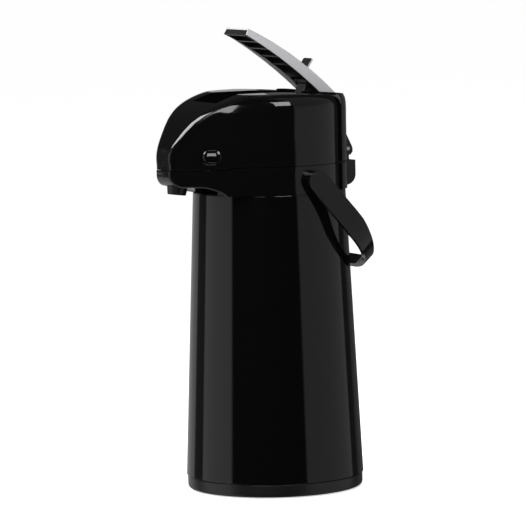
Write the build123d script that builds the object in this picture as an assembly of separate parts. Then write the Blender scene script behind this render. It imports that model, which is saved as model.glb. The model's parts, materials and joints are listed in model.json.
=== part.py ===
# A lever airpot: a gloss black pump flask on a swivel base, with a beaked collar and spout, a hinged
# lid that holds the bellows pump, a raised silver lever on top and a carrying bail leaning behind.
# Millimetres, +Z up. The origin is the centre of the base underside, the spout points to -Y, the lid
# hinge is at +Y and the bail pivots are at +X and -X. The lever is drawn raised, as it rests.
import os
from math import atan2, cos, degrees, hypot, radians, sin, sqrt, tan

from build123d import *

os.makedirs("parts", exist_ok=True)

# Clearances
running = 0.05
loose = 0.3
seam = 0.3

# Base
base_inset = 1.0
base_top_z = 12.6
base_floor_z = 1.0
base_floor = 2.5
base_rim = 3.0
foot_ring_h = 1.8
foot_ring_inset = 11.5
foot_ring_w = 8.0
hub_r = 16.0
spigot_r = 7.0
glide_inset = 21.5
glide_w = 7.0

# Painted steel body, a cone
body_bottom_z = 13.2
body_top_z = 276.7
body_bottom_r = 82.5
body_top_r = 70.85
body_wall = 1.5
base_r = body_bottom_r - base_inset
foot_ring_r = base_r - foot_ring_inset
glide_r = base_r - glide_inset

# Collar and lid share a plan: a circle at the back, bowed sides and a flat nose
collar_step = 0.35
lid_r = body_top_r - collar_step
side_start_deg = 24.3
side_bow_r = 345.0
nose_y = -109.0
nose_corner_r = 4.5
wall = 2.5
collar_bottom_z = 277.0
seam_z = 303.4
seam_nose_z = 301.1
seam_dip_from_y = -45.0
seam_dip_to_y = -80.0
seam_gap = 0.5
beak_bottom_z = 285.0
beak_corner_r = 12.0
well_r = 44.0

# Lid crown
crown_z = 369.1
shoulder_r = 14.0
crown_back_z = 362.6
trench_half_w = 25.0
trench_front_y = -65.0
trench_floor_z = 356.5
trench_back_floor_z = 352.5
pocket_front_y = 38.0
pocket_z = 334.0
pocket_back_y = 66.0
sill_z = 345.0
back_cover_deg = 47.8
back_cover_t = 2.2

# Lever, drawn shut and then raised about its pivot
pivot_y = 55.0
pivot_z = 344.0
lever_stroke_deg = 35.0
lever_half_w = 23.0
lever_top_r = 327.0
lever_apex_y = -8.0
lever_apex_z = 369.15
lever_tip_y = -62.0
cap_t = 1.5
frame_depth = 7.0
barrel_r = 8.2
pivot_pin_r = 2.5
link_pin_shut_y = 23.3
link_pin_shut_z = 360.9
link_length = 42.0
link_t = 3.0
link_half_w = 8.5
link_pin_r = 1.5
plunger_pin_y = 23.0
slot_travel = 1.7
slot_rise = 0.7
lug_t = 3.0

# Safety tab on the lever
tab_half_w = 8.5
tab_t = 1.7
tab_tall = 15.8
tab_hinge_y = 13.6
tab_hinge_z = 365.5
tab_setback = 1.2

# Bellows pump
well_floor_z = 294.0
lid_well_r = 40.0
bellows_r = 34.0
bellows_in_r = 28.0
bellows_t = 1.2
bellows_folds = 5
plate_z = 328.0
plate_t = 2.5
spring_r = 15.0
spring_wire_r = 0.8
spring_turns = 6

# Siphon head, tubes and nozzle
head_bottom_z = collar_bottom_z + wall
head_top_z = 291.0
head_r = 39.5
riser_r = 5.0
riser_bore_r = 3.6
spout_r = 4.2
spout_bore_r = 3.0
spout_run_z = 293.6
head_outlet_z = 286.0
nozzle_y = -94.0
nozzle_top_r = 9.9
nozzle_tip_r = 8.5
nozzle_tip_z = 277.6
nozzle_bore_r = spout_r + loose
nozzle_tilt_deg = 7.0

# Glass flask
flask_r = 65.0
flask_in_r = 57.0
flask_bottom_z = 30.0
flask_shoulder_z = 248.0
flask_lip_z = 274.0
neck_r = 27.5
neck_bore_r = 24.0
glass_t = 1.8

# Hinge
hinge_y = 76.8
hinge_z = 312.3
hinge_half_w = 14.0
hinge_inner_half_w = 5.8
hinge_knuckle_r = 4.8
hinge_pin_r = 1.8
bracket_back_y = 83.9
bracket_bottom_z = 278.5
bracket_top_z = 301.5

# Bail
bail_pivot_y = 10.7
bail_pivot_z = 288.8
bail_outer_x = 80.2
bail_t = 4.6
bail_w = 20.0
bail_grip_w = 12.0
bail_reach = 109.0
bail_corner_r = 66.0
bail_droop_deg = 48.5
bail_boss_r = 10.5
stud_r = 4.0

# Release buttons
button_y = -77.0
button_z = 313.8
button_w = 18.0
button_h = 11.0
button_travel = 3.0
button_recess_w = 20.5
button_recess_h = 15.0
hook_w = 8.0

middle = (Align.CENTER, Align.CENTER, Align.MIN)


def rod_z(x, y, r, z0, z1):
    return Pos(x, y, z0) * Cylinder(r, z1 - z0, align=middle)


def rod_x(y, z, r, x0, x1):
    return Pos(x0, y, z) * Rot(0, 90, 0) * Cylinder(r, x1 - x0, align=middle)


def block(x0, x1, y0, y1, z0, z1):
    return Pos((x0 + x1) / 2, (y0 + y1) / 2, (z0 + z1) / 2) * Box(x1 - x0, y1 - y0, z1 - z0)


def turned(points):
    return revolve(Plane.XZ * make_face(Polyline(*points, close=True)), Axis.Z)


def side_face(*edges):
    return Plane.YZ * make_face(Curve() + list(edges))


def side_poly(*points):
    return Plane.YZ * make_face(Polyline(*points, close=True))


def across(face, half_w):
    return extrude(face, amount=half_w, both=True)


def both_sides(shape):
    return shape + mirror(shape, about=Plane.YZ)


def save(node, shape):
    solids = shape.solids()
    export_step(Compound(children=list(solids)) if len(solids) > 1 else solids[0], f"parts/{node}.step")
    box = shape.bounding_box()
    print(node, len(solids), "solids", round(sum(s.volume for s in solids)), "mm3",
          [round(v, 1) for v in (*box.min, *box.max)], all(s.is_valid for s in solids))


def body_r(z):
    share = (z - body_bottom_z) / (body_top_z - body_bottom_z)
    return body_bottom_r + (body_top_r - body_bottom_r) * share


# The turntable is a matte black dish that stays on the table. Its rim shows under the body, and its
# hub holds the spigot that the whole pot turns on.
turntable = turned([
    (0, base_floor_z),
    (base_r, base_floor_z),
    (base_r, base_top_z),
    (base_r - base_rim, base_top_z),
    (base_r - base_rim, base_floor_z + base_floor),
    (0, base_floor_z + base_floor),
])
turntable = fillet(turntable.edges().filter_by(GeomType.CIRCLE).group_by(Axis.Z)[0].sort_by(SortBy.LENGTH)[-1:], 3.0)
hub_top_z = 10.0
turntable += rod_z(0, 0, hub_r, base_floor_z, hub_top_z)
glide_seat_z = base_top_z - 1.2
turntable += rod_z(0, 0, glide_r + glide_w + 1.5, base_floor_z + base_floor, glide_seat_z) - rod_z(
    0, 0, glide_r - 1.5, 0, glide_seat_z + 1)
retainer_pocket_z = 4.4
turntable -= rod_z(0, 0, spigot_r + running, 0, hub_top_z + 1)
turntable -= rod_z(0, 0, 12.0, 0, retainer_pocket_z)
foot_ring = rod_z(0, 0, foot_ring_r, 0, foot_ring_h) - rod_z(0, 0, foot_ring_r - foot_ring_w, -1, foot_ring_h + 1)
turntable -= foot_ring
save("base_turntable", turntable)
save("foot_ring", foot_ring)

# The glide ring is a slippery plastic ring on the turntable that the pot's bottom cover turns on.
cover_bottom_z = body_bottom_z + 0.4
glide_top_z = cover_bottom_z - running
glide_ring = rod_z(0, 0, glide_r + glide_w, glide_seat_z, glide_top_z) - rod_z(0, 0, glide_r, 0, glide_top_z + 1)
save("glide_ring", glide_ring)

# The bottom cover closes the steel body from below and carries the spigot.
cover_top_z = cover_bottom_z + 3.0
cover_rim_z = cover_bottom_z + 12.0
cover_fit = body_wall + running
bottom_cover = turned([
    (0, cover_bottom_z),
    (body_r(cover_bottom_z) - cover_fit, cover_bottom_z),
    (body_r(cover_rim_z) - cover_fit, cover_rim_z),
    (body_r(cover_rim_z) - cover_fit - 2.5, cover_rim_z),
    (body_r(cover_rim_z) - cover_fit - 2.5, cover_top_z),
    (0, cover_top_z),
])
bottom_cover += rod_z(0, 0, spigot_r, retainer_pocket_z, cover_bottom_z)
bottom_cover -= rod_z(0, 0, 1.6, 0, cover_top_z + 1)
save("bottom_cover", bottom_cover)

# The retainer washer and its screw hang from the spigot, under the hub, and keep the pot on its base.
retainer_washer = rod_z(0, 0, 11.0, retainer_pocket_z - 0.2 - 1.2, retainer_pocket_z - 0.2)
retainer_washer += rod_z(0, 0, 4.0, retainer_pocket_z - 0.2, retainer_pocket_z)
retainer_washer -= rod_z(0, 0, 1.65, 0, base_top_z)
retainer_head_z = retainer_pocket_z - 1.4
retainer_screw = rod_z(0, 0, 3.4, retainer_head_z - 1.4, retainer_head_z)
retainer_screw += rod_z(0, 0, 1.55, retainer_head_z, cover_top_z)
save("swivel_retainer", retainer_washer)
save("retainer_screw", retainer_screw)

# The outer body is a rolled steel cone, painted gloss black, open at both ends.
outer_body = turned([
    (body_bottom_r - body_wall, body_bottom_z),
    (body_bottom_r, body_bottom_z),
    (body_top_r, body_top_z),
    (body_top_r - body_wall, body_top_z),
])
save("outer_body", outer_body)

# A rubber cushion ring on the bottom cover carries the glass flask.
cushion_r = flask_r - 19.0
cushion_w = 16.0
cushion = rod_z(0, 0, cushion_r, cover_top_z, flask_bottom_z)
cushion -= rod_z(0, 0, cushion_r - cushion_w, 0, flask_bottom_z + 1)
save("flask_cushion", cushion)


def bottle(r, low, shoulder, corner, neck, lip):
    """The outside of a round bottle, from its flat bottom to its lip."""
    low_arc = RadiusArc((r - corner, low), (r, low + corner), -corner)
    top_arc = RadiusArc((r, shoulder - corner), (r - corner, shoulder), -corner)
    outline = Curve() + [
        Line((0, low), (r - corner, low)),
        low_arc,
        Line((r, low + corner), (r, shoulder - corner)),
        top_arc,
        Line((r - corner, shoulder), (neck, shoulder + 5)),
        Line((neck, shoulder + 5), (neck, lip)),
        Line((neck, lip), (0, lip)),
        Line((0, lip), (0, low)),
    ]
    return revolve(Plane.XZ * make_face(outline), Axis.Z)


# The flask is two glass walls, one in the other, joined at the lip. Each wall is an open shell here.
lip_step_z = flask_lip_z - 3.0
flask_outer = bottle(flask_r, flask_bottom_z, flask_shoulder_z, 24.0, neck_r, lip_step_z) - bottle(
    flask_r - glass_t, flask_bottom_z + glass_t, flask_shoulder_z - glass_t, 22.2, neck_r - glass_t, lip_step_z + 1)
flask_inner = bottle(flask_in_r, flask_bottom_z + 9, flask_shoulder_z - 7, 22.0, neck_bore_r + glass_t * 0.9,
                     lip_step_z)
flask_inner += rod_z(0, 0, neck_r, lip_step_z, flask_lip_z)
flask_inner -= bottle(flask_in_r - glass_t, flask_bottom_z + 9 + glass_t, flask_shoulder_z - 7 - glass_t, 20.2,
                      neck_bore_r, flask_lip_z + 1)
save("flask_outer", flask_outer)
save("flask_inner", flask_inner)

# A soft ring seals the flask lip against the floor of the collar.
neck_gasket = rod_z(0, 0, neck_r + 1.5, flask_lip_z, collar_bottom_z) - rod_z(
    0, 0, neck_bore_r + 0.5, 0, collar_bottom_z + 1)
save("neck_gasket", neck_gasket)


def plan(inset, nose, corner):
    """The shared teardrop plan, drawn inset from the lid's own outline, with its nose line at a given Y."""
    r = lid_r - inset
    bow = side_bow_r - inset
    turn = radians(side_start_deg)
    cx = -(side_bow_r - lid_r) * cos(turn)
    cy = (side_bow_r - lid_r) * sin(turn)
    start = (r * cos(turn), -r * sin(turn))
    corner_y = nose + corner
    corner_x = cx + sqrt((bow - corner) ** 2 - (corner_y - cy) ** 2)
    out = ((corner_x - cx) / (bow - corner), (corner_y - cy) / (bow - corner))
    end = (cx + out[0] * bow, cy + out[1] * bow)
    mid_y = (start[1] + end[1]) / 2
    mid = (cx + sqrt(bow ** 2 - (mid_y - cy) ** 2), mid_y)
    half = hypot(out[0], out[1] - 1)
    bend = (corner_x + corner * out[0] / half, corner_y + corner * (out[1] - 1) / half)
    tip = (corner_x, nose)
    outline = Curve() + [
        ThreePointArc((-start[0], start[1]), (0, r), start),
        ThreePointArc(start, mid, end),
        ThreePointArc(end, bend, tip),
        Line(tip, (-tip[0], tip[1])),
        ThreePointArc((-tip[0], tip[1]), (-bend[0], bend[1]), (-end[0], end[1])),
        ThreePointArc((-end[0], end[1]), (-mid[0], mid[1]), (-start[0], start[1])),
    ]
    return make_face(outline)


def plan_slab(inset, z0, z1):
    return extrude(Pos(0, 0, z0) * plan(inset, nose_y + inset, nose_corner_r), amount=z1 - z0, dir=(0, 0, 1))


# The nose line of the lid, from the seam up to the crown: height and Y of each level.
lid_levels = [
    (299.0, -109.0),
    (309.0, -109.0),
    (318.8, -107.8),
    (327.8, -103.2),
    (341.1, -94.0),
    (354.2, -79.4),
    (361.5, -64.5),
    (366.0, -52.0),
    (368.6, -43.0),
]


def lid_form(inset):
    """The lid as a solid, lofted up through its levels. A negative inset makes a larger one."""
    foot = lid_levels[0][0]
    squeeze = (crown_z - foot - inset) / (crown_z - foot)
    sections = []
    for z, nose in lid_levels:
        rise = max(0.0, z - (crown_z - shoulder_r))
        tuck = shoulder_r - sqrt(shoulder_r ** 2 - rise ** 2)
        corner = nose_corner_r + 13.0 * ((z - foot) / (crown_z - foot)) ** 1.5
        sections.append(Pos(0, 0, foot + (z - foot) * squeeze) * plan(inset + tuck, nose + inset, corner))
    return loft(sections)


def above_seam(gap):
    """A block over the seam line, which dips towards the nose."""
    return across(side_face(
        Line((120, seam_z + gap), (seam_dip_from_y, seam_z + gap)),
        Spline((seam_dip_from_y, seam_z + gap), (seam_dip_to_y, seam_nose_z + gap), tangents=[(-1, 0), (-1, 0)]),
        Line((seam_dip_to_y, seam_nose_z + gap), (-140, seam_nose_z + gap)),
        Line((-140, seam_nose_z + gap), (-140, 420)),
        Line((-140, 420), (120, 420)),
        Line((120, 420), (120, seam_z + gap)),
    ), 100)


def under_crown(lift):
    """A block under the crown line, which falls a little to the back."""
    return across(side_face(
        Spline((-130, crown_z + lift), (-19.3, crown_z + lift), (30.7, 366.7 + lift), (90, crown_back_z - 3 + lift)),
        Line((90, crown_back_z - 3 + lift), (90, 280)),
        Line((90, 280), (-130, 280)),
        Line((-130, 280), (-130, crown_z + lift)),
    ), 100)


def trench(grow):
    """The lever's trench and the pocket for its pivot, or, grown by the wall, the block that they are cut in."""
    g = grow
    return across(side_poly(
        (trench_front_y - g, trench_floor_z - g),
        (0, trench_floor_z - g),
        (pocket_front_y - g, trench_back_floor_z - g),
        (pocket_front_y - g, pocket_z - g),
        (pocket_back_y + g, pocket_z - g),
        (pocket_back_y + g, sill_z),
        (90, sill_z),
        (90, 400),
        (trench_front_y - g, 400),
    ), trench_half_w + g)


# The collar is the moulded shoulder of the pot. Its beak holds the spout, its inner well takes the
# siphon head, its skirt plugs into the steel body, and bosses at its sides carry the bail.
beak_underside = side_face(
    Line((90, collar_bottom_z), (-66, collar_bottom_z)),
    Spline((-66, collar_bottom_z), (-74, 282.2), (-86, beak_bottom_z), tangents=[(-0.6, 0.8), (-1, 0)]),
    Line((-86, beak_bottom_z), (nose_y + beak_corner_r, beak_bottom_z)),
    RadiusArc((nose_y + beak_corner_r, beak_bottom_z), (nose_y, beak_bottom_z + beak_corner_r), beak_corner_r),
    Line((nose_y, beak_bottom_z + beak_corner_r), (nose_y, 320)),
    Line((nose_y, 320), (90, 320)),
    Line((90, 320), (90, collar_bottom_z)),
)
collar_outer = plan_slab(0, collar_bottom_z, seam_z + 2) & across(beak_underside, 100)
beak_edges = collar_outer.edges().filter_by(
    lambda e: e.center().Y < -70 and e.center().Z < 292 and abs(e.center().X) > 6)
collar_outer = fillet(beak_edges, 3.5)
collar_top = above_seam(-seam_gap)
beak_inner = side_poly(
    (90, head_bottom_z), (-66, head_bottom_z), (-74, 284.9), (-86, beak_bottom_z + wall),
    (-101, beak_bottom_z + wall), (nose_y + wall, beak_bottom_z + beak_corner_r), (nose_y + wall, 320), (90, 320))
deck_z = seam_nose_z - seam_gap - wall
collar_hollow = plan_slab(wall, head_bottom_z, deck_z) & across(beak_inner, 100)
collar_hollow -= rod_z(0, 0, well_r + wall, collar_bottom_z, seam_z)
bail_boss = rod_x(bail_pivot_y, bail_pivot_z, bail_boss_r - 0.5, lid_r - 6, bail_outer_x - bail_t - loose)
collar = collar_outer - collar_top - collar_hollow
collar += both_sides(bail_boss)
collar -= rod_z(0, 0, well_r, head_bottom_z, seam_z + 2)
collar -= rod_z(0, 0, neck_bore_r + 1.0, collar_bottom_z - 1, seam_z)
skirt_fit = body_wall + running
skirt_low_z = collar_bottom_z - 11
collar += turned([
    (body_r(skirt_low_z) - skirt_fit - 2.5, skirt_low_z),
    (body_r(skirt_low_z) - skirt_fit, skirt_low_z),
    (body_r(body_top_z) - skirt_fit, body_top_z),
    (body_r(body_top_z) - skirt_fit, collar_bottom_z),
    (body_r(skirt_low_z) - skirt_fit - 2.5, collar_bottom_z),
])
collar -= Pos(0, -well_r + 3, head_outlet_z) * Rot(90, 0, 0) * Cylinder(spout_r + loose, 12, align=middle)
stud_len = 10.0
stud_bore = rod_x(bail_pivot_y, bail_pivot_z, stud_r, lid_r - 2, bail_outer_x)
collar -= both_sides(stud_bore)
nozzle_turn = Pos(0, nozzle_y, beak_bottom_z + wall) * Rot(-nozzle_tilt_deg, 0, 0)
collar -= nozzle_turn * Pos(0, 0, -8) * Cylinder(nozzle_top_r + 0.1, 20, align=middle)
collar -= nozzle_turn * Cylinder(nozzle_top_r + 2.1, 3, align=middle)

# Where the release buttons sit on the bowed side walls: a frame whose Z points outwards.
bow_turn = radians(side_start_deg)
bow_x = -(side_bow_r - lid_r) * cos(bow_turn)
bow_y = (side_bow_r - lid_r) * sin(bow_turn)
button_x = bow_x + sqrt(side_bow_r ** 2 - (button_y - bow_y) ** 2)
button_out = ((button_x - bow_x) / side_bow_r, (button_y - bow_y) / side_bow_r)
button_plane = Plane(origin=(button_x, button_y, button_z), x_dir=(-button_out[1], button_out[0], 0),
                     z_dir=(button_out[0], button_out[1], 0))
print("button at", round(button_x, 3), button_y, "outwards", [round(v, 5) for v in button_out])


def at_button(w, h, t0, t1, dz=0.0, rounded=True):
    """A pad on the button's axis, from depth t0 to t1 inside the wall's surface."""
    face = SlotOverall(w, h) if rounded else Rectangle(w, h)
    return extrude(button_plane * Pos(0, dz, -t1) * face, amount=t1 - t0, dir=button_plane.z_dir)


deck_low_z = deck_z
ledge = 4.0
window_top = seam_z - button_z + 3
window_low = deck_low_z - 2 - button_z
deck_window = at_button(hook_w + 1.0, window_top - window_low, ledge, ledge + 5.8,
                        (window_top + window_low) / 2, rounded=False)
collar -= both_sides(deck_window)
bracket_screw_y = lid_r - 8
bracket_screw_z = (284.0, 296.0)
collar += block(-8, 8, bracket_screw_y - 4, lid_r - wall + 0.5, head_bottom_z, deck_z)
for z in bracket_screw_z:
    collar -= Pos(0, 100, z) * Rot(90, 0, 0) * Cylinder(1.5, 100 - bracket_screw_y + 2, align=middle)
save("collar_shell", collar)


def back_wedge(z0, z1):
    """A sector behind the axis, as wide as the raised back covers."""
    edge = radians(90 - back_cover_deg)
    far = 140.0
    corner = (far * cos(edge), far * sin(edge))
    return extrude(Pos(0, 0, z0) * make_face(Polyline((0, 0), corner, (0, 260), (-corner[0], corner[1]), close=True)),
                   amount=z1 - z0, dir=(0, 0, 1))


# The collar's back cover is a raised panel behind the pot, round the foot of the hinge bracket.
cover_low_z = collar_bottom_z + 1.0
cover_high_z = seam_z - seam_gap - 0.3
collar_cover = rod_z(0, 0, lid_r + back_cover_t, cover_low_z, cover_high_z) - rod_z(0, 0, lid_r, 0, 400)
collar_cover = collar_cover & back_wedge(cover_low_z - 1, cover_high_z + 1)
collar_cover -= block(-hinge_half_w - loose, hinge_half_w + loose, 50, 90, cover_low_z - 1, cover_high_z + 1)
save("collar_back_cover", collar_cover)

# The hinge bracket is screwed to the back of the collar. Its middle knuckle holds the hinge pin.
bracket = across(side_face(
    Line((lid_r - 6, bracket_bottom_z), (bracket_back_y - 10, bracket_bottom_z)),
    RadiusArc((bracket_back_y - 10, bracket_bottom_z), (bracket_back_y, bracket_bottom_z + 10), -10),
    Line((bracket_back_y, bracket_bottom_z + 10), (bracket_back_y, bracket_top_z)),
    Line((bracket_back_y, bracket_top_z), (lid_r - 6, bracket_top_z)),
    Line((lid_r - 6, bracket_top_z), (lid_r - 6, bracket_bottom_z)),
), hinge_half_w)
bracket -= rod_z(0, 0, lid_r, 0, 400)
knuckle_web = block(-hinge_inner_half_w, hinge_inner_half_w, hinge_y - 3.6, hinge_y + hinge_knuckle_r,
                    bracket_top_z - 2, hinge_z)
bracket += knuckle_web
bracket += rod_x(hinge_y, hinge_z, hinge_knuckle_r, -hinge_inner_half_w, hinge_inner_half_w)
bracket -= rod_x(hinge_y, hinge_z, hinge_pin_r + running, -20, 20)
bracket_screws = Part()
for z in bracket_screw_z:
    bracket -= Pos(0, 100, z) * Rot(90, 0, 0) * Cylinder(1.6, 60, align=middle)
    bracket -= Pos(0, 100, z) * Rot(90, 0, 0) * Cylinder(3.2, 100 - bracket_back_y + 2.4, align=middle)
    screw = Pos(0, bracket_back_y - 0.4, z) * Rot(90, 0, 0) * Cylinder(3.1, 2.0, align=middle)
    shank_len = bracket_back_y - 2.4 - bracket_screw_y
    bracket_screws += screw + Pos(0, bracket_back_y - 2.4, z) * Rot(90, 0, 0) * Cylinder(1.45, shank_len, align=middle)
save("hinge_bracket", bracket)
save("bracket_screws", bracket_screws)

# The hinge pin goes through the lid's two ears and the bracket's knuckle.
hinge_pin = rod_x(hinge_y, hinge_z, hinge_pin_r, -hinge_half_w + 0.2, hinge_half_w - 0.2)
save("hinge_pin", hinge_pin)

# The lid is one moulded shell with a teardrop plan and a domed crown. A trench along the crown takes
# the lever, a pocket behind it takes the lever's pivot, and two ears at the back take the hinge pin.
lid_outer = lid_form(0) & under_crown(0)
lid_inner = lid_form(wall) & under_crown(-wall)
lid_top = above_seam(0)
lid_hollow = lid_inner - trench(wall)
lid = (lid_outer & lid_top) - lid_hollow - trench(0)
post_spots = [(46.0, -26.0), (46.0, 26.0)]
plate_bottom_z = seam_z + 0.6
lid_plate_t = 2.5
post_low_z = plate_bottom_z + lid_plate_t
for x, y in post_spots:
    post = rod_z(x, y, 4.0, post_low_z, 400) & lid_outer
    lid += both_sides(post)
    lid -= both_sides(rod_z(x, y, 1.3, 0, post_low_z + 14))
ears = across(side_poly(
    (lid_r - 3.5, 328.6), (74.1, 327.8), (81.0, 313.5), (81.3, 309.6), (79.0, 306.5), (lid_r - 3.5, 306.5)), hinge_half_w)
ears -= across(side_poly((0, 0), (200, 0), (200, 600), (0, 600)), hinge_inner_half_w + 0.3)
ears -= rod_z(0, 0, lid_r - 1.5, 0, 500)
lid += ears
lid -= rod_x(hinge_y, hinge_z, hinge_pin_r, -20, 20)
lid -= block(-slot_travel - link_half_w + 0.5, slot_travel + link_half_w - 0.5, 19.0, 33.0, 345, 365)
pivot_boss = rod_x(pivot_y, pivot_z, 5.0, lever_half_w + 0.4, trench_half_w + 0.5)
lid += both_sides(pivot_boss)
lid -= rod_x(pivot_y, pivot_z, pivot_pin_r, -trench_half_w - wall + 0.5, trench_half_w + wall - 0.5)
lid -= both_sides(at_button(button_recess_w, button_recess_h, -2, 1.0))
lid -= both_sides(at_button(button_w + 0.4, button_h + 0.4, -2, wall + 2))
save("lid_shell", lid)

# The lid's back cover is a raised saddle panel that wraps the back wall and laps over the shoulder.
lid_cover = (lid_form(-back_cover_t) & under_crown(1.8)) - lid_outer
lid_cover = lid_cover & back_wedge(seam_z + 0.6, 420)
lid_cover -= trench(0)
lid_cover -= block(-hinge_half_w - loose, hinge_half_w + loose, 50, 90, seam_z, 329.5)
lid_cover = Part() + [s for s in lid_cover.solids() if s.volume > 50]
save("lid_back_cover", lid_cover)

# The lid's base plate closes it from below. Its round well holds the bellows and presses on the head.
lid_plate = plan_slab(wall + 3 * loose, plate_bottom_z, post_low_z)
lid_plate += rod_z(0, 0, lid_well_r, well_floor_z, post_low_z)
lid_plate -= rod_z(0, 0, lid_well_r - 2.0, well_floor_z + wall, post_low_z + 1)
lid_plate -= rod_z(0, 0, 3.0, 0, post_low_z)
for x, y in post_spots:
    lid_plate -= both_sides(rod_z(x, y, 1.6, 0, post_low_z + 1))
    lid_plate -= both_sides(rod_z(x, y, 3.2, 0, plate_bottom_z + 1.3))
hook_slot = at_button(hook_w + 1.0, 8, ledge, ledge + 5.8, plate_bottom_z + 1 - button_z, rounded=False)
lid_plate -= both_sides(hook_slot)
spring_socket = at_button(9.0, 9.0, 11.5, 17.0, 0, rounded=False)
socket_foot = at_button(9.0, button_z - plate_bottom_z - 2, 11.5, 17.0,
                        -(button_z - plate_bottom_z) / 2, rounded=False)
spring_seat_hole = extrude(button_plane * Pos(0, 0, -15.6) * Circle(3.1), amount=6, dir=button_plane.z_dir)
lid_plate += both_sides(spring_socket + socket_foot)
lid_plate -= both_sides(spring_seat_hole)
save("lid_base", lid_plate)

# Four screws hold the base plate to the lid's posts.
lid_screws = Part()
for x, y in post_spots:
    one = rod_z(x, y, 3.1, plate_bottom_z + 0.1, plate_bottom_z + 1.3) + rod_z(
        x, y, 1.25, plate_bottom_z + 1.3, post_low_z + 10)
    lid_screws += both_sides(one)
save("lid_base_screws", lid_screws)


def button_part(side_mirror):
    """A release button: an obround pad, a flange behind the wall and a hook arm down to the collar's ledge."""
    part = at_button(button_w, button_h, 0.2, wall + 0.2)
    part += at_button(button_w + 3.0, button_h + 2.4, wall + 0.2, wall + 1.7)
    arm_top = 4.0
    arm_low = deck_z - 3.0 - button_z
    part += at_button(hook_w, arm_top - arm_low, wall + 1.7, wall + 3.7, (arm_top + arm_low) / 2, rounded=False)
    barb_top = deck_z - 0.2 - button_z
    barb_low = arm_low
    part += at_button(hook_w, barb_top - barb_low, ledge - 1.2, wall + 3.7, (barb_top + barb_low) / 2, rounded=False)
    return mirror(part, about=Plane.YZ) if side_mirror else part


# The release buttons sit in obround recesses at the sides of the nose. Pressing them frees the lid.
save("release_button_right", button_part(False))
save("release_button_left", button_part(True))

# A small coil behind each button pushes it out. Its free end lies in a blind socket on the base plate.
coil_start = wall + 3.7
coil_len = 6.4
coil = Helix(pitch=1.25, height=coil_len - 0.7, radius=2.4)
coil_wire = sweep(Plane(coil @ 0, z_dir=coil % 0) * Circle(0.3), path=coil)
button_spring = button_plane.location * Pos(0, 0, -coil_start - coil_len + 0.35) * coil_wire
save("button_spring_right", button_spring)
save("button_spring_left", mirror(button_spring, about=Plane.YZ))


def lever_top(y, depth):
    """Height of the shut lever's top at a place along it, or of a line that runs a depth under it."""
    r = lever_top_r - depth
    return lever_apex_z - lever_top_r + sqrt(r ** 2 - (y - lever_apex_y) ** 2)


def under_top(depth, y0, y1):
    """Everything under the lever's top arc, less a depth, between two places along it."""
    return side_face(
        ThreePointArc((y0, lever_top(y0, depth)), ((y0 + y1) / 2, lever_top((y0 + y1) / 2, depth)),
                      (y1, lever_top(y1, depth))),
        Line((y1, lever_top(y1, depth)), (y1, 320)),
        Line((y1, 320), (y0, 320)),
        Line((y0, 320), (y0, lever_top(y0, depth))),
    )


def on_barrel(r, deg):
    return (pivot_y + r * cos(radians(deg)), pivot_z + r * sin(radians(deg)))


def raise_lever(shape):
    return Pos(0, pivot_y, pivot_z) * Rot(-lever_stroke_deg, 0, 0) * Pos(0, -pivot_y, -pivot_z) * shape


# The lever's cap is a satin silver pressing: the long top, the side skirts and the ears at the pivot.
lever_back_y = 52.0
lever_side = side_face(
    ThreePointArc((lever_tip_y, lever_top(lever_tip_y, 0)), (lever_apex_y, lever_apex_z),
                  (lever_back_y, lever_top(lever_back_y, 0))),
    Line((lever_back_y, lever_top(lever_back_y, 0)), (59.0, 359.5)),
    Line((59.0, 359.5), on_barrel(barrel_r, 20)),
    ThreePointArc(on_barrel(barrel_r, 20), on_barrel(barrel_r, -70), on_barrel(barrel_r, 200)),
    Line(on_barrel(barrel_r, 200), (37.0, 355.4)),
    ThreePointArc((37.0, 355.4), (-12.0, 359.9), (lever_tip_y + 1, 358.7)),
    Line((lever_tip_y + 1, 358.7), (lever_tip_y, lever_top(lever_tip_y, 0))),
)
cap = across(lever_side, lever_half_w)
long_edges = cap.edges().filter_by(
    lambda e: abs(abs(e.center().X) - lever_half_w) < 0.01 and e.center().Z > 362 and e.length > 60)
cap = fillet(long_edges, 2.0)
inside = across(side_face(
    ThreePointArc((-80, lever_top(-80, cap_t)), (lever_apex_y, lever_apex_z - cap_t), (50.5, lever_top(50.5, cap_t))),
    Line((50.5, lever_top(50.5, cap_t)), (57.4, 358.8)),
    Line((57.4, 358.8), (61.0, 347.6)),
    Line((61.0, 347.6), (61.0, 320)),
    Line((61.0, 320), (-80, 320)),
    Line((-80, 320), (-80, lever_top(-80, cap_t))),
), lever_half_w - cap_t)
cap -= inside
tab_window = block(-tab_half_w - loose, tab_half_w + loose, tab_hinge_y - tab_tall - 0.5,
                   tab_hinge_y + tab_setback + tab_t + 0.5, 362, 375)
cap -= tab_window
pin_bore = rod_x(pivot_y, pivot_z, pivot_pin_r + running, -40, 40)
cap -= pin_bore
save("lever_cap", raise_lever(cap))

# The lever's black frame fills the cap from below: a thin plate with side walls and cross ribs, the
# pivot barrel, and two lugs for the link.
frame_half_w = lever_half_w - cap_t
frame_front_y = lever_tip_y + 0.4
frame_back_y = 49.0
frame = across(side_face(
    ThreePointArc((frame_front_y, lever_top(frame_front_y, cap_t)), (lever_apex_y, lever_apex_z - cap_t),
                  (frame_back_y, lever_top(frame_back_y, cap_t))),
    Line((frame_back_y, lever_top(frame_back_y, cap_t)), (56.5, 357.0)),
    Line((56.5, 357.0), on_barrel(5.8, 25)),
    ThreePointArc(on_barrel(5.8, 25), on_barrel(5.8, -70), on_barrel(5.8, 195)),
    Line(on_barrel(5.8, 195), (39.5, lever_top(39.5, frame_depth))),
    ThreePointArc((39.5, lever_top(39.5, frame_depth)), (lever_apex_y, lever_apex_z - frame_depth),
                  (frame_front_y, lever_top(frame_front_y, frame_depth))),
    Line((frame_front_y, lever_top(frame_front_y, frame_depth)), (frame_front_y, lever_top(frame_front_y, cap_t))),
), frame_half_w)
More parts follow.
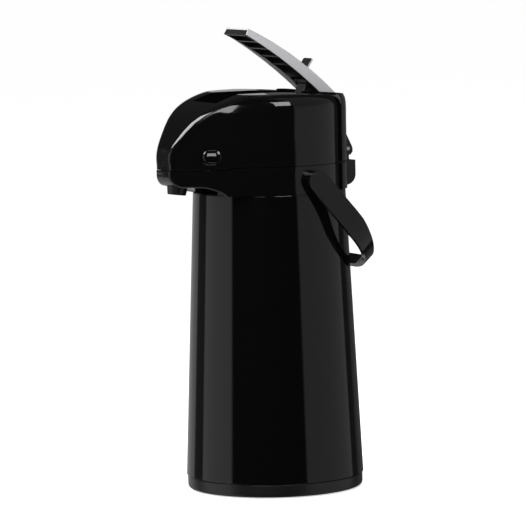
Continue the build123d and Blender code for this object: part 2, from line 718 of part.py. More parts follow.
bay_count = 5
rib_t = 1.8
bays_from = frame_front_y + rib_t
bays_to = tab_hinge_y - 2.6
bay_pitch = (bays_to - bays_from) / bay_count
for i in range(bay_count):
    y0 = bays_from + i * bay_pitch
    y1 = y0 + bay_pitch - (rib_t if i < bay_count - 1 else 0)
    frame -= across(under_top(cap_t * 2, y0, y1), frame_half_w - rib_t)
frame -= across(under_top(cap_t * 2, tab_hinge_y + 3.4, 33.0), frame_half_w - rib_t)
lug = rod_x(link_pin_shut_y, link_pin_shut_z, 4.0, link_half_w + 0.4, link_half_w + 0.4 + lug_t)
lug += block(link_half_w + 0.4, link_half_w + 0.4 + lug_t, link_pin_shut_y - 4, link_pin_shut_y + 4,
             link_pin_shut_z, lever_top(link_pin_shut_y, cap_t * 2) + 0.3)
frame += both_sides(lug)
frame -= rod_x(link_pin_shut_y, link_pin_shut_z, link_pin_r, -link_half_w - lug_t - 2, link_half_w + lug_t + 2)
frame -= pin_bore
tab_trunnion_r = 1.2
frame -= block(-tab_half_w - loose, tab_half_w + loose, tab_hinge_y - tab_tall - 0.5,
               tab_hinge_y + tab_setback + tab_t + 0.5, tab_hinge_z + 0.9, 375)
frame -= rod_x(tab_hinge_y, tab_hinge_z, tab_trunnion_r + running, -tab_half_w - 2.2, tab_half_w + 2.2)
frame -= block(-tab_half_w - 2.2, tab_half_w + 2.2, tab_hinge_y - tab_trunnion_r - running,
               tab_hinge_y + tab_trunnion_r + running, tab_hinge_z, 375)
frame -= block(-tab_half_w - loose, tab_half_w + loose, tab_hinge_y, tab_hinge_y + tab_setback + tab_t + 0.5,
               tab_hinge_z - 1.4, 375)
save("lever_frame", raise_lever(frame))

# The safety tab stands up through a window in the cap and folds forwards, flush with the lever.
tab = block(-tab_half_w, tab_half_w, tab_hinge_y + tab_setback, tab_hinge_y + tab_setback + tab_t,
            tab_hinge_z - 0.8, tab_hinge_z + tab_tall)
tab_top = tab.edges().filter_by(Axis.Y).group_by(Axis.Z)[-1]
tab = fillet(tab_top, 2.0)
tab += rod_x(tab_hinge_y, tab_hinge_z, tab_trunnion_r, -tab_half_w - 2.0, tab_half_w + 2.0)
tab += block(-tab_half_w, tab_half_w, tab_hinge_y, tab_hinge_y + tab_setback + 0.5, tab_hinge_z - 0.8, tab_hinge_z + 0.8)
save("safety_tab", raise_lever(tab))

# The lever's pivot pin lies across the pocket, in the walls of the trench.
pivot_pin = rod_x(pivot_y, pivot_z, pivot_pin_r, -trench_half_w - wall + 0.6, trench_half_w + wall - 0.6)
save("lever_pivot_pin", pivot_pin)

# The link joins the lever to the plunger. Its lower pin runs in a short slot, because the plunger is
# guided straight while the link swings.
turn = radians(-lever_stroke_deg)
shut_arm = (link_pin_shut_y - pivot_y, link_pin_shut_z - pivot_z)
upper_y = pivot_y + shut_arm[0] * cos(turn) - shut_arm[1] * sin(turn)
upper_z = pivot_z + shut_arm[0] * sin(turn) + shut_arm[1] * cos(turn)
lower_y = plunger_pin_y
lower_z = upper_z - sqrt(link_length ** 2 - (upper_y - lower_y) ** 2)
shut_lower_z = link_pin_shut_z - sqrt(link_length ** 2 - (link_pin_shut_y - lower_y) ** 2)
stroke = lower_z - shut_lower_z
lean = degrees(atan2(upper_y - lower_y, upper_z - lower_z))
shut_lean = degrees(atan2(link_pin_shut_y - lower_y, link_pin_shut_z - shut_lower_z))
print("upper pin", round(upper_y, 3), round(upper_z, 3), "lower pin", lower_y, round(lower_z, 3),
      "stroke", round(stroke, 3), "lean", round(lean, 3), "shut lean", round(shut_lean, 3))
link_way = Pos(0, lower_y, lower_z) * Rot(-lean, 0, 0)
eye_r = 3.4
link = rod_x(0, 0, eye_r, -link_half_w, link_half_w)
link += rod_x(0, link_length, eye_r, -link_half_w, link_half_w)
link += block(-link_half_w, link_half_w, -link_t / 2, link_t / 2, 0, link_length)
link -= rod_x(0, 0, link_pin_r, -20, 20)
link -= rod_x(0, link_length, link_pin_r + running, -20, 20)
save("link", link_way * link)
pin_half = link_half_w + 0.4 + lug_t
save("upper_link_pin", rod_x(upper_y, upper_z, link_pin_r, -pin_half, pin_half))
save("lower_link_pin", rod_x(lower_y, lower_z, link_pin_r, -pin_half, pin_half))

# The plunger plate presses the bellows. Its two lugs hold the link's lower pin in slots.
plunger = rod_z(0, 0, bellows_r - 0.5, plate_z, plate_z + plate_t)
clevis = block(link_half_w + 0.4, pin_half, lower_y - 6, lower_y + 6, plate_z + plate_t - 0.5, lower_z)
clevis += rod_x(lower_y, lower_z, 6.0, link_half_w + 0.4, pin_half)
clevis = clevis & block(0, 40, lower_y - 6, lower_y + 6, plate_z, lower_z + 4)
slot_r = link_pin_r + running
slot = block(-30, 30, lower_y - slot_travel - slot_r, lower_y + slot_travel + slot_r, lower_z - slot_r,
             lower_z + slot_r + slot_rise)
slot = fillet(slot.edges().filter_by(Axis.X), slot_r - 0.1)
plunger += both_sides(clevis)
plunger -= slot
save("plunger", plunger)

# The bellows is a soft folded cup between the well's floor and the plunger plate.
fold_low_z = well_floor_z + wall
fold_pitch = (plate_z - fold_low_z) / bellows_folds
fold_out = []
fold_in = []
for i in range(2 * bellows_folds + 1):
    z = fold_low_z + i * fold_pitch / 2
    r = bellows_r if i % 2 else bellows_in_r
    fold_out.append((r, z))
    fold_in.append((r - bellows_t, z))
bellows = turned(fold_out + fold_in[::-1])
bellows += rod_z(0, 0, bellows_in_r + 3, fold_low_z, fold_low_z + 1) - rod_z(0, 0, 20, 0, 400)
bellows += rod_z(0, 0, bellows_in_r + 3, plate_z - 1, plate_z) - rod_z(0, 0, 20, 0, 400)
save("bellows", bellows)

# The return spring stands inside the bellows and lifts the plunger and the lever.
coil_room = plate_z - fold_low_z - 2 * spring_wire_r - 0.2
main_coil = Helix(pitch=coil_room / spring_turns, height=coil_room, radius=spring_r)
main_wire = sweep(Plane(main_coil @ 0, z_dir=main_coil % 0) * Circle(spring_wire_r), path=main_coil)
save("return_spring", Pos(0, 0, fold_low_z + spring_wire_r + 0.1) * main_wire)

# A rubber flap covers the air hole in the well's floor, so that the pump blows one way.
flap = rod_z(0, 0, 8.0, fold_low_z, fold_low_z + 1.2) + rod_z(0, 0, 2.4, well_floor_z + 0.5, fold_low_z + 0.5)
save("air_flap", flap)

# The siphon head sits in the collar's well. Water comes up its middle and leaves at its front, and
# air from the pump goes down the hole behind.
boss_low_z = 262.0
head = rod_z(0, 0, head_r, head_bottom_z, head_top_z)
head += rod_z(0, 0, 9.0, boss_low_z, head_bottom_z)
head -= rod_z(0, 0, riser_r, boss_low_z - 1, head_bottom_z - 2)
head -= rod_z(0, 0, riser_bore_r, boss_low_z, head_outlet_z)
head -= Pos(0, 0, head_outlet_z) * Rot(90, 0, 0) * Cylinder(spout_bore_r, head_r + 2, align=middle)
head -= Pos(0, -head_r + 6, head_outlet_z) * Rot(90, 0, 0) * Cylinder(spout_r, 20, align=middle)
head -= rod_z(0, 16, 2.5, head_bottom_z - 1, head_top_z + 1)
save("siphon_head", head)

# A soft ring on the head seals against the underside of the lid's well.
head_gasket = rod_z(0, 0, 37.0, head_top_z, well_floor_z) - rod_z(0, 0, 31.0, 0, 400)
save("head_gasket", head_gasket)

# The riser tube hangs from the head and ends near the bottom of the flask.
riser_low_z = 46.0
riser = rod_z(0, 0, riser_r, riser_low_z, head_bottom_z - 2) - rod_z(0, 0, riser_bore_r, 0, 400)
save("riser_tube", riser)

# The spout tube carries water from the head to the nozzle, rising through the beak.
spout_path = FilletPolyline(
    (0, -head_r + 6, head_outlet_z),
    (0, -58, head_outlet_z),
    (0, -80, spout_run_z),
    (0, nozzle_y + (spout_run_z - beak_bottom_z - wall) * tan(radians(nozzle_tilt_deg)), spout_run_z),
    (0, nozzle_y - 4.0 * tan(radians(nozzle_tilt_deg)), beak_bottom_z + wall - 4.0),
    radius=5.0)
spout_start = Plane(spout_path @ 0, z_dir=spout_path % 0)
spout = sweep(spout_start * Circle(spout_r), path=spout_path) - sweep(spout_start * Circle(spout_bore_r), path=spout_path)
save("spout_tube", spout)

# The nozzle hangs from the underside of the beak, with a flange inside.
nozzle_len = beak_bottom_z + wall - nozzle_tip_z
nozzle = Pos(0, 0, -nozzle_len) * Cone(nozzle_tip_r, nozzle_top_r, nozzle_len, align=middle)
nozzle += Cylinder(nozzle_top_r + 2.0, 1.8, align=middle)
nozzle -= Pos(0, 0, -nozzle_len - 1) * Cylinder(nozzle_bore_r, nozzle_len + 4, align=middle)
save("nozzle", nozzle_turn * nozzle)

# The bail is a flat moulded strap, a U with big round corners and a narrower grip, leaning on the body.
away = radians(bail_droop_deg)
bail_plane = Plane(origin=(0, bail_pivot_y, bail_pivot_z), x_dir=(-1, 0, 0), z_dir=(0, sin(away), cos(away)))


def bail_u(inset):
    half = bail_outer_x - inset
    far = bail_reach + bail_t / 2 - inset
    corner = bail_corner_r - inset
    return Curve() + [
        Line((half, 0), (half, -(far - corner))),
        RadiusArc((half, -(far - corner)), (half - corner, -far), corner),
        Line((half - corner, -far), (-half + corner, -far)),
        RadiusArc((-half + corner, -far), (-half, -(far - corner)), corner),
        Line((-half, -(far - corner)), (-half, 0)),
        Line((-half, 0), (half, 0)),
    ]


bail_solid = extrude(make_face(bail_u(0)), amount=bail_w / 2, both=True)
bail_solid -= extrude(make_face(bail_u(bail_t)), amount=bail_w, both=True)
bail_solid -= block(-200, 200, 0, 50, -50, 50)
taper_from = -58.0
taper_to = -96.0
strap_side = make_face(Polyline(
    (20, bail_w / 2), (taper_from, bail_w / 2), (taper_to, bail_grip_w / 2), (-140, bail_grip_w / 2),
    (-140, -bail_grip_w / 2), (taper_to, -bail_grip_w / 2), (taper_from, -bail_w / 2), (20, -bail_w / 2), close=True))
bail_solid = bail_solid & across(Plane.YZ * strap_side, 120)
bail_solid += both_sides(rod_x(0, 0, bail_w / 2, bail_outer_x - bail_t, bail_outer_x))
bail_solid -= both_sides(rod_x(0, 0, stud_r + running, bail_outer_x - bail_t - 1, bail_outer_x - 1.4))
bail = bail_plane.location * bail_solid
save("bail", bail)

# Two studs in the collar's bosses carry the bail.
stud = rod_x(bail_pivot_y, bail_pivot_z, stud_r, lid_r - 2, bail_outer_x - 1.5)
save("bail_studs", both_sides(stud))

# How far the grip stays from the body that it leans on.
grip_in = (bail_reach - bail_t / 2)
grip_y = bail_pivot_y + grip_in * cos(away) - bail_grip_w / 2 * sin(away)
grip_z = bail_pivot_z - grip_in * sin(away) - bail_grip_w / 2 * cos(away)
print("grip clears the body by", round(grip_y - body_r(grip_z), 2))
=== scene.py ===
import json
import math

import bpy
from mathutils import Matrix, Vector

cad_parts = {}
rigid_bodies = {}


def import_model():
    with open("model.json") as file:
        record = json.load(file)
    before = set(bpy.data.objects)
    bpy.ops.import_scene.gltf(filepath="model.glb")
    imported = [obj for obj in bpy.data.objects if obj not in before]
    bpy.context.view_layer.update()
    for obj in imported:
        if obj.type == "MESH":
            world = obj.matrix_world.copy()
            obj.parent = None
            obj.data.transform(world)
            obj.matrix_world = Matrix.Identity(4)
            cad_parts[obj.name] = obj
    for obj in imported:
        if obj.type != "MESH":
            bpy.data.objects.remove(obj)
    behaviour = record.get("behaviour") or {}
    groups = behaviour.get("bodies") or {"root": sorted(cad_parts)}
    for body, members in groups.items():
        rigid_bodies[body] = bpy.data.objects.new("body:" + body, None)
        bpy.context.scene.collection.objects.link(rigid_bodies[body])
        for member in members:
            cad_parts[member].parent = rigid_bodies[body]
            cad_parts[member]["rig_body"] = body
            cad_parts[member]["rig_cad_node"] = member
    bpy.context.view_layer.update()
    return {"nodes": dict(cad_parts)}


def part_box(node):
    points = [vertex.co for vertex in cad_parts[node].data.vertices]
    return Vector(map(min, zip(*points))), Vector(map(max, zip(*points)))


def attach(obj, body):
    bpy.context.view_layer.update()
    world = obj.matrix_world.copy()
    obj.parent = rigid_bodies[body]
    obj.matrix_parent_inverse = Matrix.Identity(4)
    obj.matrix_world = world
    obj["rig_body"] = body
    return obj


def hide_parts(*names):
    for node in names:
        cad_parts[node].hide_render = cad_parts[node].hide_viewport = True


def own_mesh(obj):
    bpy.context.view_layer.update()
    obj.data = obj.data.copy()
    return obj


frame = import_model()
nodes = frame["nodes"]


# Outer body: a steel cone rolled from sheet and seamed, sprayed gloss black and baked.
# It stands in the bottom cover and carries the collar, so both of its rims are hidden.
def surface_group(name, scale, detail):
    """A node group that puts out a roughness and a fine height from noise on Object coordinates."""
    times_finer = 18
    middle = 0.5
    group = bpy.data.node_groups.new(name, "ShaderNodeTree")
    group.interface.new_socket("Base Roughness", in_out="INPUT", socket_type="NodeSocketFloat")
    group.interface.new_socket("Variation", in_out="INPUT", socket_type="NodeSocketFloat")
    group.interface.new_socket("Roughness", in_out="OUTPUT", socket_type="NodeSocketFloat")
    group.interface.new_socket("Height", in_out="OUTPUT", socket_type="NodeSocketFloat")
    made = group.nodes
    links = group.links
    inlet = made.new("NodeGroupInput")
    outlet = made.new("NodeGroupOutput")
    coords = made.new("ShaderNodeTexCoord")
    broad = made.new("ShaderNodeTexNoise")
    broad.inputs["Scale"].default_value = scale
    broad.inputs["Detail"].default_value = detail
    fine = made.new("ShaderNodeTexNoise")
    fine.inputs["Scale"].default_value = scale * times_finer
    centred = made.new("ShaderNodeMath")
    centred.operation = "SUBTRACT"
    centred.inputs[1].default_value = middle
    scaled = made.new("ShaderNodeMath")
    scaled.operation = "MULTIPLY_ADD"
    links.new(coords.outputs["Object"], broad.inputs["Vector"])
    links.new(coords.outputs["Object"], fine.inputs["Vector"])
    links.new(broad.outputs["Fac"], centred.inputs[0])
    links.new(centred.outputs[0], scaled.inputs[0])
    links.new(inlet.outputs["Variation"], scaled.inputs[1])
    links.new(inlet.outputs["Base Roughness"], scaled.inputs[2])
    links.new(scaled.outputs[0], outlet.inputs["Roughness"])
    links.new(fine.outputs["Fac"], outlet.inputs["Height"])
    return group


moulded_skin = surface_group("moulded_skin", scale=26.0, detail=3.0)


def finish_material(name, color, rough, spread, metallic=0.0, bump=0.0):
    """A Principled material whose roughness drifts a little over the surface."""
    relief_depth = 0.0002
    material = bpy.data.materials.new(name)
    material.use_nodes = True
    tree = material.node_tree
    bsdf = tree.nodes["Principled BSDF"]
    bsdf.inputs["Base Color"].default_value = (*color, 1.0)
    bsdf.inputs["Metallic"].default_value = metallic
    skin = tree.nodes.new("ShaderNodeGroup")
    skin.node_tree = moulded_skin
    skin.inputs["Base Roughness"].default_value = rough
    skin.inputs["Variation"].default_value = spread
    tree.links.new(skin.outputs["Roughness"], bsdf.inputs["Roughness"])
    if bump:
        relief = tree.nodes.new("ShaderNodeBump")
        relief.inputs["Strength"].default_value = bump
        relief.inputs["Distance"].default_value = relief_depth
        tree.links.new(skin.outputs["Height"], relief.inputs["Height"])
        tree.links.new(relief.outputs["Normal"], bsdf.inputs["Normal"])
    return material


def alone(piece):
    """Makes a piece the only one selected."""
    bpy.ops.object.select_all(action="DESELECT")
    piece.select_set(True)
    bpy.context.view_layer.objects.active = piece


def round_edges(piece, width_mm, segments):
    """Rounds every sharp edge of a piece, with its shading led by the large faces."""
    sharp_deg = 40
    large_face_weight = 80
    alone(piece)
    rounding = piece.modifiers.new("edges", "BEVEL")
    rounding.width = width_mm / 1000
    rounding.segments = segments
    rounding.limit_method = "ANGLE"
    rounding.angle_limit = math.radians(sharp_deg)
    bpy.ops.object.modifier_apply(modifier="edges")
    shading = piece.modifiers.new("shading", "WEIGHTED_NORMAL")
    shading.mode = "FACE_AREA_WITH_ANGLE"
    shading.weight = large_face_weight
    shading.keep_sharp = True
    bpy.ops.object.modifier_apply(modifier="shading")


def mount(piece, body, slot, material, *replaced):
    """Gives a new piece its material and body, in place of the CAD nodes it stands for. Its slot is
    not used.
    """
    piece.data.materials.clear()
    piece.data.materials.append(material)
    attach(piece, body)
    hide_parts(*replaced)


same_spot = 0.00001


def turned_piece(name, profile):
    """A round piece, drawn ring by ring from its profile in metres and closed on its first ring."""
    points_round = 256
    smooth_deg = 35
    bpy.ops.object.select_all(action="DESELECT")
    first_r, first_z = profile[0]
    bpy.ops.mesh.primitive_circle_add(
        vertices=points_round, radius=first_r, location=(0, 0, first_z))
    piece = bpy.context.object
    piece.name = name
    bpy.ops.object.transform_apply(location=True, rotation=True, scale=True)
    bpy.ops.object.mode_set(mode="EDIT")
    bpy.ops.mesh.select_all(action="SELECT")
    last_r, last_z = first_r, first_z
    for r, z in profile[1:] + profile[:1]:
        bpy.ops.mesh.extrude_region_move(TRANSFORM_OT_translate={"value": (0, 0, z - last_z)})
        bpy.ops.transform.resize(value=(r / last_r, r / last_r, 1), center_override=(0, 0, 0))
        last_r, last_z = r, z
    bpy.ops.mesh.select_all(action="SELECT")
    bpy.ops.mesh.remove_doubles(threshold=same_spot)
    bpy.ops.mesh.normals_make_consistent(inside=False)
    bpy.ops.object.mode_set(mode="OBJECT")
    bpy.ops.object.shade_smooth_by_angle(angle=math.radians(smooth_deg))
    round_edges(piece, width_mm=0.4, segments=3)
    return piece


black_paint = finish_material("black_paint", (0.0015, 0.0015, 0.0016), rough=0.06, spread=0.02)
steel = finish_material("steel", (0.55, 0.55, 0.56), rough=0.28, spread=0.08, metallic=1.0)
body_low, body_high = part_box("outer_body")
body_low_r = body_high.x
body_top_r = 0.07085
body_wall = 0.0015
body_cone = turned_piece("body_cone", [
    (body_low_r - body_wall, body_low.z),
    (body_low_r, body_low.z),
    (body_top_r, body_high.z),
    (body_top_r - body_wall, body_high.z),
])
mount(body_cone, "pot", "black_paint", black_paint, "outer_body")


# Turntable, foot ring and glide ring: the moulded base that the pot swivels on.
# The rubber foot ring grips the table and the acetal glide ring lies between base and cover.
def finish_node(node, material):
    """Gives a CAD node its material, with its mesh as it is."""
    piece = nodes[node]
    piece.data.materials.clear()
    piece.data.materials.append(material)


def moulded_copy(node):
    """A copy of a CAD node with its loose triangles merged, ready to be shaped."""
    level_deg = 0.02
    source = nodes[node]
    alone(source)
    bpy.ops.object.duplicate()
    piece = bpy.context.object
    piece.name = node + "_moulded"
    del piece["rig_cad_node"]
    bpy.ops.object.mode_set(mode="EDIT")
    bpy.ops.mesh.select_all(action="SELECT")
    bpy.ops.mesh.remove_doubles(threshold=same_spot)
    bpy.ops.mesh.dissolve_limited(angle_limit=math.radians(level_deg))
    bpy.ops.object.mode_set(mode="OBJECT")
    return piece


moulded_smooth_deg = 32


def moulded(node, slot, material, edge_mm=0.4, segments=2):
    """A moulded copy of a node with rounded edges and smooth curves, in the node's place."""
    piece = moulded_copy(node)
    bpy.ops.object.shade_smooth_by_angle(angle=math.radians(moulded_smooth_deg))
    round_edges(piece, edge_mm, segments)
    mount(piece, nodes[node]["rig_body"], slot, material, node)
    return piece


matte_black = finish_material(
    "matte_black", (0.005, 0.005, 0.0055), rough=0.3, spread=0.1, bump=0.1)
rubber = finish_material("rubber", (0.03, 0.03, 0.03), rough=0.7, spread=0.1, bump=0.2)
white_plastic = finish_material("white_plastic", (0.6, 0.6, 0.58), rough=0.4, spread=0.08)
moulded("base_turntable", "matte_black", matte_black, edge_mm=0.6, segments=3)
finish_node("foot_ring", rubber)
finish_node("glide_ring", white_plastic)

# Bottom cover: moulded, pressed into the body's lower rim. Its spigot turns in the turntable and is
# held there from below by a steel washer and one screw.
finish_node("bottom_cover", matte_black)
for node in ("swivel_retainer", "retainer_screw"):
    finish_node(node, steel)

# Flask: a double glass wall, silvered inside, standing on a rubber cushion, with a silicone gasket
# round its neck. None of it shows from outside.
silvered_glass = finish_material(
    "silvered_glass", (0.8, 0.8, 0.82), rough=0.05, spread=0.02, metallic=1.0)
silicone = finish_material("silicone", (0.75, 0.75, 0.72), rough=0.45, spread=0.08)
for node in ("flask_outer", "flask_inner"):
    finish_node(node, silvered_glass)
finish_node("flask_cushion", rubber)
finish_node("neck_gasket", silicone)

# Siphon: the moulded head that lifts out of the neck, with its gasket and the riser tube that goes
# down to the drink. A soft silicone tube leads from it to the nozzle.
for node in ("siphon_head", "riser_tube"):
    finish_node(node, white_plastic)
for node in ("head_gasket", "spout_tube"):
    finish_node(node, silicone)

# Collar: the glossy moulded shoulder with the beak, in one piece, snapped over the body's upper
# rim. Its back cover is a raised panel round the foot of the hinge bracket.
gloss_black = finish_material("gloss_black", (0.0018, 0.0018, 0.0019), rough=0.06, spread=0.02)
moulded("collar_shell", "gloss_black", gloss_black)
moulded("collar_back_cover", "gloss_black", gloss_black)

# Nozzle: a square outlet, moulded in matt black plastic.
# It is pushed into the beak from below, round the spout tube's end.
moulded("nozzle", "matte_black", matte_black, edge_mm=0.5)

# Hinge: a moulded bracket, held to the collar's back by two steel screws.
# A steel pin goes through it and through the lid's ears.
moulded("hinge_bracket", "gloss_black", gloss_black)
for node in ("bracket_screws", "hinge_pin"):
    finish_node(node, steel)

# Lid: a glossy domed moulding with the lever's trench in its crown, a raised saddle panel behind it
# and a white base plate screwed up into its posts.
moulded("lid_shell", "gloss_black", gloss_black)
moulded("lid_back_cover", "gloss_black", gloss_black)
finish_node("lid_base", white_plastic)
finish_node("lid_base_screws", steel)


# Release buttons: glossy obround pads at the sides of the nose, domed by the mould, each pushed out
# by a small steel coil.
def pillow_button(node, spring, outward):
    """A button whose outer face swells into a pillow, with its rim just inside the recess."""
    rim_deg = 38.0
    crown_deg = 4.0
    rings = 9
    sink = 0.0009
    near = 0.0001
    squarely_out = 0.9
    smooth_deg = 30
    piece = moulded_copy(node)
    bpy.ops.mesh.customdata_custom_splitnormals_clear()
    outermost = max(v.co.dot(outward) for v in piece.data.vertices)
    rim = [v for v in piece.data.vertices if v.co.dot(outward) > outermost - near]
    for vertex in rim:
        vertex.co -= outward * sink
    low_z = min(v.co.z for v in rim)
    high_z = max(v.co.z for v in rim)
    end_r = (high_z - low_z) / 2
    centre = sum((v.co for v in rim), Vector()) / len(rim)
    centre.z = (low_z + high_z) / 2
    along = Vector((-outward.y, outward.x, 0))
    straight = max((v.co - centre).dot(along) for v in rim) - end_r
    bpy.ops.object.mode_set(mode="EDIT")
    bpy.ops.mesh.select_mode(type="FACE")
    bpy.ops.mesh.select_all(action="DESELECT")
    bpy.ops.object.mode_set(mode="OBJECT")
    for face in piece.data.polygons:
        on_the_end = face.center.dot(outward) > outermost - sink - near
        face.select = on_the_end and face.normal.dot(outward) > squarely_out
    bpy.ops.object.mode_set(mode="EDIT")
    bpy.ops.mesh.delete(type="FACE")
    bpy.ops.mesh.select_mode(type="EDGE")
    bpy.ops.mesh.select_non_manifold(use_wire=False, use_multi_face=False, use_non_contiguous=False)
    bpy.ops.mesh.edge_face_add()
    bpy.ops.mesh.select_mode(type="FACE")
    pillow_r = end_r / math.sin(math.radians(rim_deg))
    step = math.radians(rim_deg - crown_deg) / rings
    slopes = [math.radians(rim_deg) - step * ring for ring in range(rings + 1)]
    for steep, flat in zip(slopes, slopes[1:]):
        swell = outward * pillow_r * (math.cos(flat) - math.cos(steep))
        outer_r = pillow_r * math.sin(steep)
        inner_r = pillow_r * math.sin(flat)
        shorter = (straight + inner_r) / (straight + outer_r)
        centre += swell
        bpy.ops.mesh.extrude_region_move(TRANSFORM_OT_translate={"value": swell})
        bpy.ops.transform.resize(
            value=(shorter, 1, inner_r / outer_r), orient_type="GLOBAL",
            orient_matrix=(along, outward, (0, 0, 1)), orient_matrix_type="GLOBAL",
            center_override=centre)
    bpy.ops.object.mode_set(mode="OBJECT")
    bpy.ops.object.shade_smooth_by_angle(angle=math.radians(smooth_deg))
    mount(piece, nodes[node]["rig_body"], "gloss_black", gloss_black, node)
    finish_node(spring, steel)


outward_x = 0.83476
outward_y = -0.55061
pillow_button("release_button_right", "button_spring_right", Vector((outward_x, outward_y, 0)))
pillow_button("release_button_left", "button_spring_left", Vector((-outward_x, outward_y, 0)))

# Lever: a cap moulded in satin silver plastic, clipped over a ribbed black frame.
# It turns on a steel pin across the lid's trench.
satin_silver = finish_material(
    "satin_silver", (0.49, 0.49, 0.505), rough=0.36, spread=0.06, metallic=0.25, bump=0.05)
moulded("lever_frame", "matte_black", matte_black, edge_mm=0.25)
moulded("lever_cap", "satin_silver", satin_silver, edge_mm=0.7, segments=3)
finish_node("lever_pivot_pin", steel)

# Safety tab: a small moulded flap near the lever's tip, black in front and silver behind.
# It folds forwards to lock the lever.
tab = moulded("safety_tab", "satin_silver", satin_silver, edge_mm=0.25)
tab.data.materials.append(matte_black)
front_normal_y = -0.5
black_index = 1
for face in tab.data.polygons:
    if face.normal.y < front_normal_y:
        face.material_index = black_index

# Link: a moulded strut between the lever and the plunger.
# A steel pin holds it at each end.
moulded("link", "matte_black", matte_black, edge_mm=0.25)
for node in ("upper_link_pin", "lower_link_pin"):
    finish_node(node, steel)


# Pump: the plunger's moulded plate, the silicone bellows under it, the steel spring inside and the
# rubber flap that lets air in. All of it is inside the lid.
# The bellows and the spring flatten as the plate goes down.
def soft_copy(node, slot, material):
    """A smooth-shaded copy of a node in the node's place, with a mesh of its own."""
    piece = moulded_copy(node)
    bpy.ops.object.shade_smooth_by_angle(angle=math.radians(moulded_smooth_deg))
    mount(piece, nodes[node]["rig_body"], slot, material, node)
    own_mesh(piece)


soft_copy("bellows", "silicone", silicone)
soft_copy("return_spring", "steel", steel)
finish_node("plunger", white_plastic)
finish_node("air_flap", rubber)

# Bail: a strap moulded in gloss black plastic that hangs behind the pot.
# It is snapped over two steel studs at the collar's sides.
moulded("bail", "gloss_black", gloss_black, edge_mm=0.6, segments=3)
finish_node("bail_studs", steel)

# Floor: a pale sweep that the pot stands on. It reads white to the camera and keeps a soft shadow.
# Mirrored rays go through it to the boxes and flags, which in the photo reach below the table's
# edge.
floor_size = 60.0
floor_grey = 0.82
floor_glow = 0.62
bpy.ops.object.select_all(action="DESELECT")
bpy.ops.mesh.primitive_plane_add(size=floor_size, location=(0, 0, 0))
floor = bpy.context.object
floor.name = "floor"
floor_material = bpy.data.materials.new("floor")
floor_material.use_nodes = True
floor_tree = floor_material.node_tree
floor_bsdf = floor_tree.nodes["Principled BSDF"]
floor_bsdf.inputs["Base Color"].default_value = (floor_grey, floor_grey, floor_grey, 1.0)
floor_bsdf.inputs["Roughness"].default_value = 1.0
floor_bsdf.inputs["Specular IOR Level"].default_value = 0.0
floor_bsdf.inputs["Emission Color"].default_value = (1, 1, 1, 1)
floor_path = floor_tree.nodes.new("ShaderNodeLightPath")
glow = floor_tree.nodes.new("ShaderNodeMath")
glow.operation = "MULTIPLY"
glow.inputs[1].default_value = floor_glow
floor_tree.links.new(floor_path.outputs["Is Camera Ray"], glow.inputs[0])
floor_tree.links.new(glow.outputs[0], floor_bsdf.inputs["Emission Strength"])
passed = floor_tree.nodes.new("ShaderNodeBsdfTransparent")
floor_mix = floor_tree.nodes.new("ShaderNodeMixShader")
floor_out = floor_tree.nodes["Material Output"]
floor_tree.links.new(floor_path.outputs["Is Glossy Ray"], floor_mix.inputs["Fac"])
floor_tree.links.new(floor_bsdf.outputs["BSDF"], floor_mix.inputs[1])
floor_tree.links.new(passed.outputs["BSDF"], floor_mix.inputs[2])
floor_tree.links.new(floor_mix.outputs["Shader"], floor_out.inputs["Surface"])
floor.data.materials.append(floor_material)

# Camera: a long lens at the photo's angle, off the pot's right front, a little above it.
# The distance and turns come from the pot's measured outline in the photo.
azimuth = math.radians(63.0)
camera_away = 3.5646
camera_height = 0.5648
yaw, pitch, roll = -0.0020, 0.0995, -0.0216
focal_px = 3854.57
photo_px = 526
side_on = Vector((math.cos(azimuth), math.sin(azimuth), 0))
inward = Vector((-math.sin(azimuth), math.cos(azimuth), 0))
ahead = (math.sin(yaw) * math.cos(pitch) * side_on + math.cos(yaw) * math.cos(pitch) * inward
         - math.sin(pitch) * Vector((0, 0, 1)))
level = math.cos(yaw) * side_on - math.sin(yaw) * inward
upward = level.cross(ahead)
right = math.cos(roll) * level + math.sin(roll) * upward
top = -math.sin(roll) * level + math.cos(roll) * upward
camera_data = bpy.data.cameras.new("camera")
camera_data.sensor_width = 36.0
camera_data.lens = focal_px * camera_data.sensor_width / photo_px
camera_data.clip_end = 50.0
camera = bpy.data.objects.new("camera", camera_data)
bpy.context.scene.collection.objects.link(camera)
turn = Matrix((right, top, -ahead)).transposed().to_4x4()
spot = Vector((camera_away * math.sin(azimuth), -camera_away * math.cos(azimuth), camera_height))
camera.matrix_world = Matrix.Translation(spot) @ turn
bpy.context.scene.camera = camera

# World: white to the camera. In the gloss it is a ring of boxes and black flags round the pot, with
# a low row and a high row. Each entry is a turn from the camera's direction, to its right, and the
# brightness from there on.
low_row = [
    (-180, 0.45), (-131, 0.07), (-109, 0.62), (-58, 0.001), (42, 0.37), (121, 0.04), (138, 0.10)]
high_row = [(-180, 0.03), (-109, 0.30), (-58, 0.001), (42, 0.24), (121, 0.04)]
low_row_top = 0.16
high_row_foot = 0.26
room_grey = 0.45
world = bpy.data.worlds.new("studio")
bpy.context.scene.world = world
world.use_nodes = True
sky = world.node_tree
sky.nodes.clear()
where = sky.nodes.new("ShaderNodeTexCoord")
along = sky.nodes.new("ShaderNodeVectorMath")
along.operation = "DOT_PRODUCT"
along.inputs[1].default_value = side_on
facing = sky.nodes.new("ShaderNodeVectorMath")
facing.operation = "DOT_PRODUCT"
facing.inputs[1].default_value = -inward
sky.links.new(where.outputs["Generated"], along.inputs[0])
sky.links.new(where.outputs["Generated"], facing.inputs[0])
turned_by = sky.nodes.new("ShaderNodeMath")
turned_by.operation = "ARCTAN2"
sky.links.new(along.outputs["Value"], turned_by.inputs[0])
sky.links.new(facing.outputs["Value"], turned_by.inputs[1])
share = sky.nodes.new("ShaderNodeMapRange")
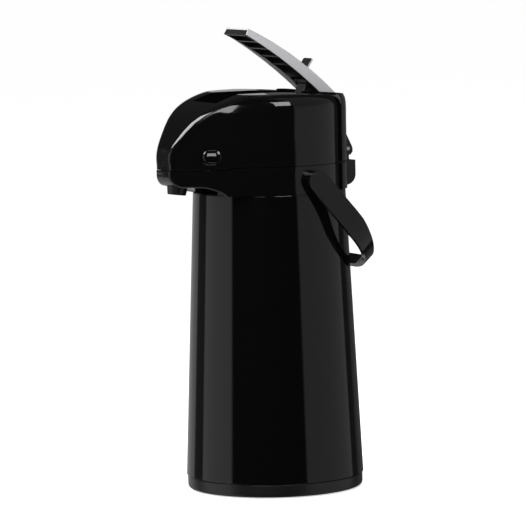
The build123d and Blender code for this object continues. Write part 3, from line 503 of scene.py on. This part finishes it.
share.inputs["From Min"].default_value = -math.pi
share.inputs["From Max"].default_value = math.pi
sky.links.new(turned_by.outputs[0], share.inputs["Value"])


def box_row(steps):
    """A color ramp round the pot that holds each step's brightness up to the next."""
    soft_edge = 0.004
    row = sky.nodes.new("ShaderNodeValToRGB")
    ramp = row.color_ramp
    held = steps[0][1]
    ramp.elements[0].color = (held, held, held, 1)
    for turn_deg, bright in steps[1:]:
        place = (turn_deg + 180) / 360
        before = ramp.elements.new(place - soft_edge)
        before.color = (held, held, held, 1)
        after = ramp.elements.new(place + soft_edge)
        after.color = (bright, bright, bright, 1)
        held = bright
    ramp.elements[-1].color = (held, held, held, 1)
    sky.links.new(share.outputs["Result"], row.inputs["Fac"])
    return row


low_boxes = box_row(low_row)
high_boxes = box_row(high_row)
apart = sky.nodes.new("ShaderNodeSeparateXYZ")
sky.links.new(where.outputs["Generated"], apart.inputs[0])
climb = sky.nodes.new("ShaderNodeMapRange")
climb.inputs["From Min"].default_value = low_row_top
climb.inputs["From Max"].default_value = high_row_foot
sky.links.new(apart.outputs["Z"], climb.inputs["Value"])
boxes = sky.nodes.new("ShaderNodeMix")
boxes.data_type = "RGBA"
sky.links.new(climb.outputs["Result"], boxes.inputs["Factor"])
sky.links.new(low_boxes.outputs["Color"], boxes.inputs["A"])
sky.links.new(high_boxes.outputs["Color"], boxes.inputs["B"])
rays = sky.nodes.new("ShaderNodeLightPath")
mirrored = sky.nodes.new("ShaderNodeMix")
mirrored.data_type = "RGBA"
mirrored.inputs["A"].default_value = (room_grey, room_grey, room_grey, 1)
sky.links.new(rays.outputs["Is Glossy Ray"], mirrored.inputs["Factor"])
sky.links.new(boxes.outputs["Result"], mirrored.inputs["B"])
shown = sky.nodes.new("ShaderNodeMix")
shown.data_type = "RGBA"
shown.inputs["B"].default_value = (1, 1, 1, 1)
sky.links.new(rays.outputs["Is Camera Ray"], shown.inputs["Factor"])
sky.links.new(mirrored.outputs["Result"], shown.inputs["A"])
background = sky.nodes.new("ShaderNodeBackground")
sky_out = sky.nodes.new("ShaderNodeOutputWorld")
sky.links.new(shown.outputs["Result"], background.inputs["Color"])
sky.links.new(background.outputs[0], sky_out.inputs["Surface"])


# Lamps: three softboxes that face the pot. The key one is high on the camera's left and the front
# one high on its right. The nose one is lower, a little left of the camera, where the release
# buttons mirror it.
def softbox(name, turn_deg, rise_deg, away, size_x, size_y, watts):
    """A rectangular lamp, turned from the camera's direction and raised, in metres and watts."""
    aim_z = 0.25
    data = bpy.data.lights.new(name, "AREA")
    data.shape = "RECTANGLE"
    data.size = size_x
    data.size_y = size_y
    data.energy = watts
    lamp = bpy.data.objects.new(name, data)
    bpy.context.scene.collection.objects.link(lamp)
    around = azimuth + math.radians(turn_deg)
    rise = math.radians(rise_deg)
    reach = away * math.cos(rise)
    lamp_z = aim_z + away * math.sin(rise)
    lamp.location = (reach * math.sin(around), -reach * math.cos(around), lamp_z)
    to_pot = Vector((0, 0, aim_z)) - lamp.location
    lamp.rotation_mode = "QUATERNION"
    lamp.rotation_quaternion = to_pot.to_track_quat("-Z", "Y")


softbox("key_softbox", turn_deg=-82, rise_deg=40, away=1.5, size_x=1.25, size_y=0.75, watts=30)
softbox("front_softbox", turn_deg=24, rise_deg=40, away=1.6, size_x=0.6, size_y=0.8, watts=11)
softbox("nose_softbox", turn_deg=-16, rise_deg=20.5, away=1.6, size_x=0.5, size_y=0.88, watts=8.8)

scene = bpy.context.scene
scene.view_settings.view_transform = "Standard"
